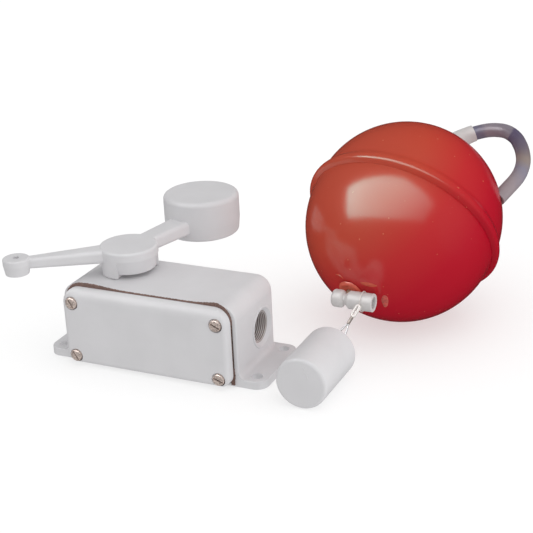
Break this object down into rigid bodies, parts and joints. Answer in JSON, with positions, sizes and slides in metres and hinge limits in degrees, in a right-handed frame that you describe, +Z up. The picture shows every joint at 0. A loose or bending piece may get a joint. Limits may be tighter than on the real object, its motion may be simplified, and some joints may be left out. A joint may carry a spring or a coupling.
{
  "type": "float level switch",
  "caption": "Float-operated level switch: cast switch housing with counterweighted lever, ball float with hose handle, and a sinker weight on a wire leader.",
  "frame": {"origin": "centre of the four flange holes, on the housing's base face", "axes": "+Z up out of the base face, +X out of the conduit entry, -Y out of the screwed cover"},
  "size_m": [0.3347, 0.294, 0.1542],
  "materials": {
    "white_coat": "smooth light grey-white coating",
    "gasket_brown": "dark gasket sheet",
    "seal_black": "black rubber",
    "screw_steel": "dull plated steel",
    "steel": "turned steel",
    "bronze": "sintered bronze",
    "terminal_brass": "bright brass",
    "black_phenolic": "moulded phenolic",
    "nylon": "natural nylon",
    "ground_green": "green plated screw",
    "lead_blue": "wire insulation",
    "float_red": "glossy moulded orange-red",
    "white_plastic": "translucent white moulding",
    "clear_hose": "clear grey vinyl",
    "cable_grey": "stranded cable",
    "wire_white": "nylon coated wire",
    "crimp_metal": "dull pressed sleeve"
  },
  "bodies": {
    "housing": {"housing": "white_coat", "cover": "white_coat", "cover_gasket": "gasket_brown", "cover_screws": "screw_steel", "upper_bush": "bronze", "lower_bush": "bronze", "shaft_seal": "seal_black", "switch_plate": "steel", "switch_screws": "steel", "terminal_block": "black_phenolic", "terminal_screws": "terminal_brass", "block_screws": "steel", "ground_screw": "ground_green", "low_switch_case": "black_phenolic", "low_switch_terminals": "terminal_brass", "low_arm_pin": "steel", "low_leads": "lead_blue", "high_switch_case": "black_phenolic", "high_switch_terminals": "terminal_brass", "high_arm_pin": "steel", "high_leads": "lead_blue"},
    "lever": {"lever": "white_coat", "lever_shaft": "steel", "lever_pin": "steel", "shaft_clip": "steel", "low_cam": "nylon", "low_cam_screw": "steel", "high_cam": "nylon", "high_cam_screw": "steel"},
    "low_arm": {"low_roller_arm": "steel", "low_roller_pin": "steel"},
    "low_roller": {"low_roller": "nylon"},
    "low_plunger": {"low_plunger": "nylon"},
    "high_arm": {"high_roller_arm": "steel", "high_roller_pin": "steel"},
    "high_roller": {"high_roller": "nylon"},
    "high_plunger": {"high_plunger": "nylon"},
    "float": {"float_front_shell": "float_red", "float_rear_shell": "float_red", "float_tube": "float_red", "handle_sleeve": "white_plastic", "handle_hose": "clear_hose", "float_cable": "cable_grey", "toggle": "white_plastic"},
    "leader": {"leader_eye": "wire_white", "leader_crimp": "crimp_metal", "leader_loop": "steel"},
    "weight": {"weight": "white_coat", "weight_eye": "steel"}
  },
  "joints": [
    {"name": "lever_turn", "type": "hinge", "parent": "housing", "child": "lever", "pos_m": [-0.035, 0.005, 0.0628], "axis": [0, 0, 1], "range_deg": [-45, 45]},
    {"name": "low_arm_swing", "type": "hinge", "parent": "housing", "child": "low_arm", "pos_m": [-0.0135, -0.021, 0.0175], "axis": [0, 0, 1], "range_deg": [-4.6, 4.6]},
    {"name": "low_roller_spin", "type": "hinge", "parent": "low_arm", "child": "low_roller", "pos_m": [-0.01815, 0.005, 0.0175], "axis": [0, 0, 1], "continuous": true},
    {"name": "low_plunger_travel", "type": "slide", "parent": "housing", "child": "low_plunger", "axis": [1, 0, 0], "range_m": [-0.0009, 0.0009]},
    {"name": "high_arm_swing", "type": "hinge", "parent": "housing", "child": "high_arm", "pos_m": [-0.0135, -0.021, 0.0355], "axis": [0, 0, 1], "range_deg": [-4.6, 4.6]},
    {"name": "high_roller_spin", "type": "hinge", "parent": "high_arm", "child": "high_roller", "pos_m": [-0.01815, 0.005, 0.0355], "axis": [0, 0, 1], "continuous": true},
    {"name": "high_plunger_travel", "type": "slide", "parent": "housing", "child": "high_plunger", "axis": [1, 0, 0], "range_m": [-0.0009, 0.0009]},
    {"name": "float_lift", "type": "slide", "parent": "housing", "child": "float", "axis": [0, 0, 1], "range_m": [0, 0.1]},
    {"name": "leader_swing", "type": "hinge", "parent": "float", "child": "leader", "pos_m": [0.1366, 0.0479, 0.0429], "axis": [1, 0, 0], "range_deg": [-60, 45]},
    {"name": "weight_swing", "type": "hinge", "parent": "leader", "child": "weight", "pos_m": [0.1264, 0.0147, 0.0192], "axis": [1, 0, 0], "range_deg": [-20, 60]}
  ],
  "couplings": [
    {"joint": "low_arm_swing", "follows": "lever_turn", "ratio": 0.0979},
    {"joint": "low_plunger_travel", "follows": "lever_turn", "m_per_rad": -0.000979},
    {"joint": "high_arm_swing", "follows": "lever_turn", "ratio": -0.0979},
    {"joint": "high_plunger_travel", "follows": "lever_turn", "m_per_rad": 0.000979}
  ]
}
